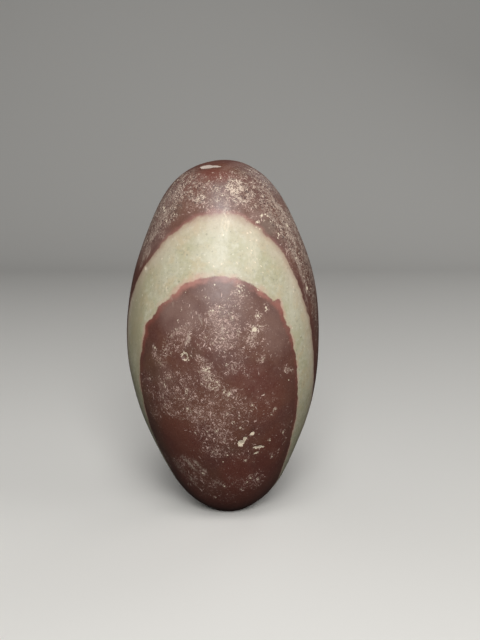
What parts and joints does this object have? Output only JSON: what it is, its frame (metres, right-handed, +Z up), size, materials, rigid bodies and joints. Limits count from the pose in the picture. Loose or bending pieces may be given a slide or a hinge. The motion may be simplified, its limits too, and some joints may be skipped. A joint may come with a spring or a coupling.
{
  "type": "shiva lingam stone",
  "caption": "Egg-shaped river-worn banded stone that stands upright on a small flat spot worn on its narrower end.",
  "frame": {"origin": "centre of the small flat spot that the stone stands on", "axes": "+Z up along the stone's length, -Y towards the front with the dark oval inside the pale band, +X to the right as seen from the front"},
  "size_m": [0.0551, 0.0518, 0.1016],
  "materials": {
    "banded_rock": "Hand-rubbed, river-worn jasper-like rock with a satin surface: dark red-brown, with one pale grey-green band, fine pale percussion marks and a few cream chips."
  },
  "bodies": {
    "root": {"stone": "banded_rock"}
  },
  "joints": []
}
